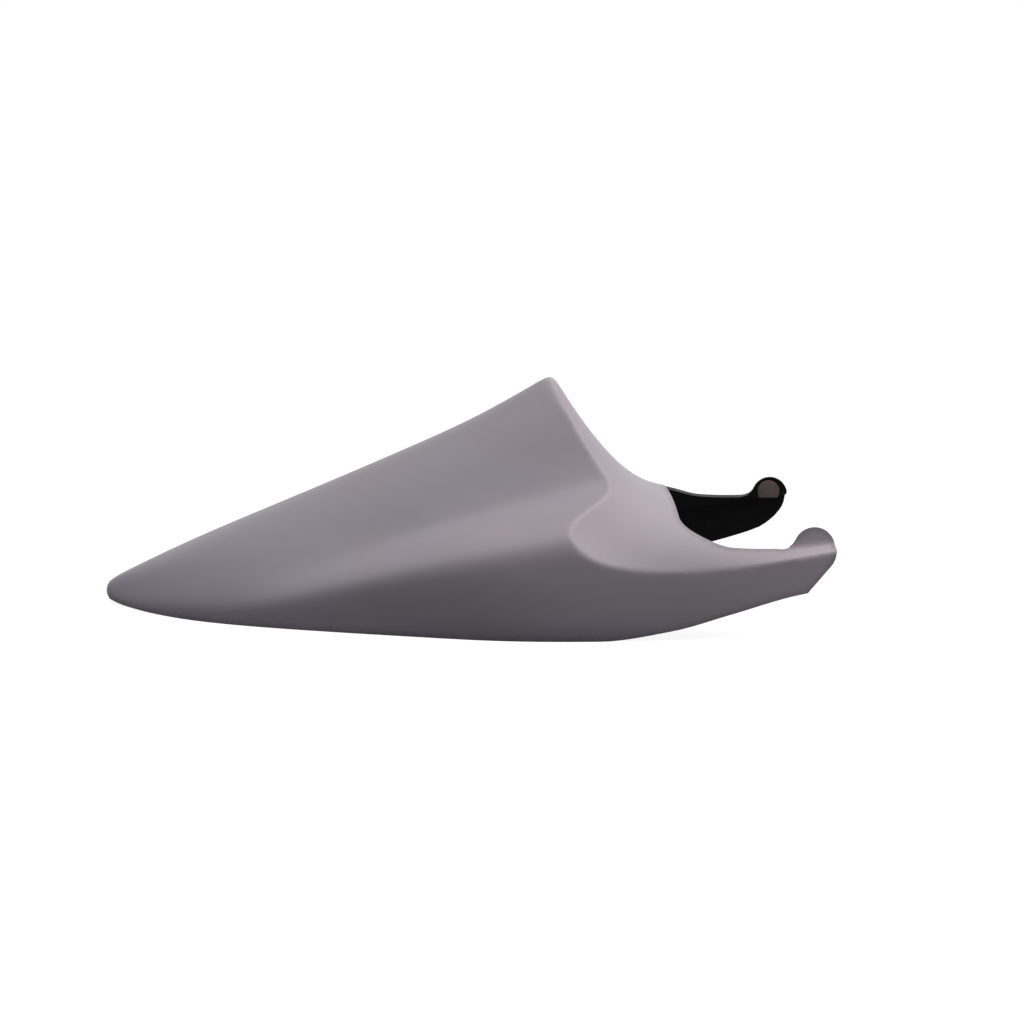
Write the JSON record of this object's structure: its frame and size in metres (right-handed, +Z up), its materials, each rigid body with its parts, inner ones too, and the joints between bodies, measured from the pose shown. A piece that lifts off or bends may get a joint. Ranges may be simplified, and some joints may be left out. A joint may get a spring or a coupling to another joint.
{
  "type": "motorcycle tail fairing",
  "caption": "One-piece moulded tail shell for a motorcycle: a pointed seat hump with flared shoulders and open arms that reach forward round the seat.",
  "frame": {"origin": "middle of the length, on the centre plane, at the level of the flat lower rim", "axes": "+X forward along the length towards the arms, +Y to the left, +Z up from the rim to the hump"},
  "size_m": [0.722, 0.2984, 0.235],
  "materials": {
    "grey_moulding": "satin grey moulded surface outside, black bare laminate inside"
  },
  "bodies": {
    "root": {"tail_shell": "grey_moulding"}
  },
  "joints": []
}
